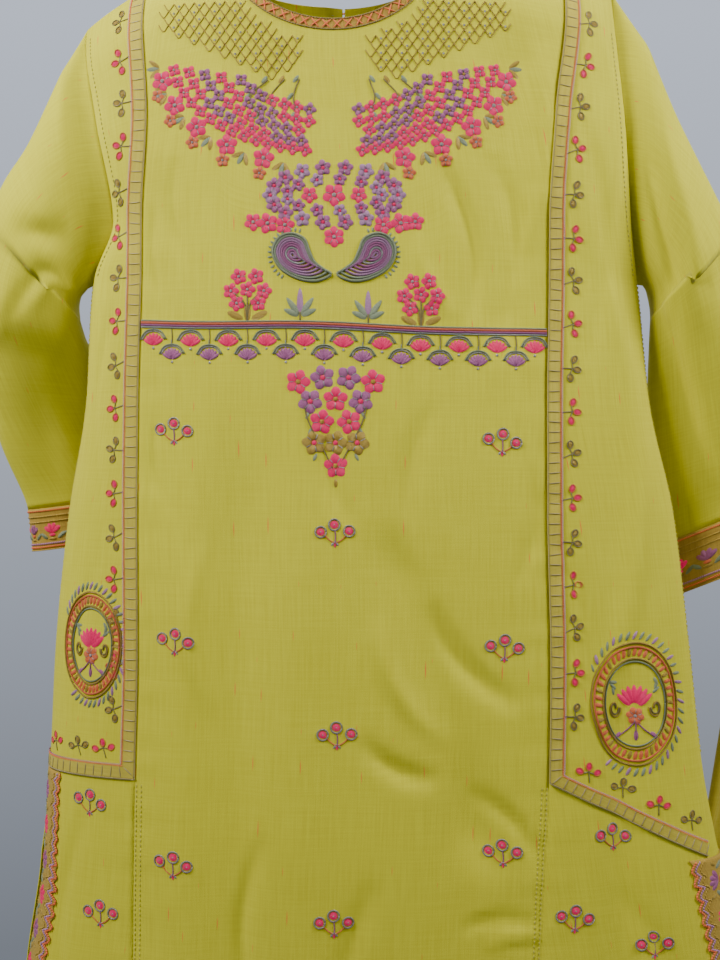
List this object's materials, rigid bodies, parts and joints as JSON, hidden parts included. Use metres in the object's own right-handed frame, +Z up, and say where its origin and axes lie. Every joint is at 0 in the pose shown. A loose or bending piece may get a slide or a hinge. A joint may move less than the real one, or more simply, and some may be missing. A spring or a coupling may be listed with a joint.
{
  "type": "kurta set on hangers",
  "caption": "Straight princess-seam kurta with embroidered borders and three-quarter sleeves, hung beside its flared trousers on one plain rod.",
  "frame": {"origin": "middle of the rod, above the kurta", "axes": "+X to the viewer's right along the rod, +Y away from the viewer, +Z up"},
  "size_m": [1.1094, 0.1495, 1.0687],
  "materials": {
    "kurta_cloth": "lemon yellow slub cotton",
    "ladder_tape": "ladder stitched tape",
    "stitched_border": "dense mustard stitching",
    "loop_thread": "twisted thread",
    "hanger_wood": "satin varnish",
    "hook_steel": "polished",
    "clip_plastic": "satin",
    "trouser_cloth": "golden yellow slub cotton"
  },
  "bodies": {
    "root": {"front_centre": "kurta_cloth", "side_front_left": "kurta_cloth", "side_front_right": "kurta_cloth", "back": "kurta_cloth", "sleeve_left": "kurta_cloth", "sleeve_right": "kurta_cloth", "cuff_left": "stitched_border", "cuff_right": "stitched_border", "neck_band": "stitched_border", "ladder_tape_left": "ladder_tape", "ladder_tape_right": "ladder_tape", "slit_border_left": "stitched_border", "slit_border_right": "stitched_border", "neck_button": "kurta_cloth", "neck_loop": "loop_thread", "hanger_bar": "hanger_wood", "hanger_hook": "hook_steel", "rod": "hook_steel", "waistband": "trouser_cloth", "trouser_left": "trouser_cloth", "trouser_right": "trouser_cloth", "clip_bar": "hook_steel", "clip_hook": "hook_steel", "clip_left": "clip_plastic", "clip_right": "clip_plastic"}
  },
  "joints": []
}
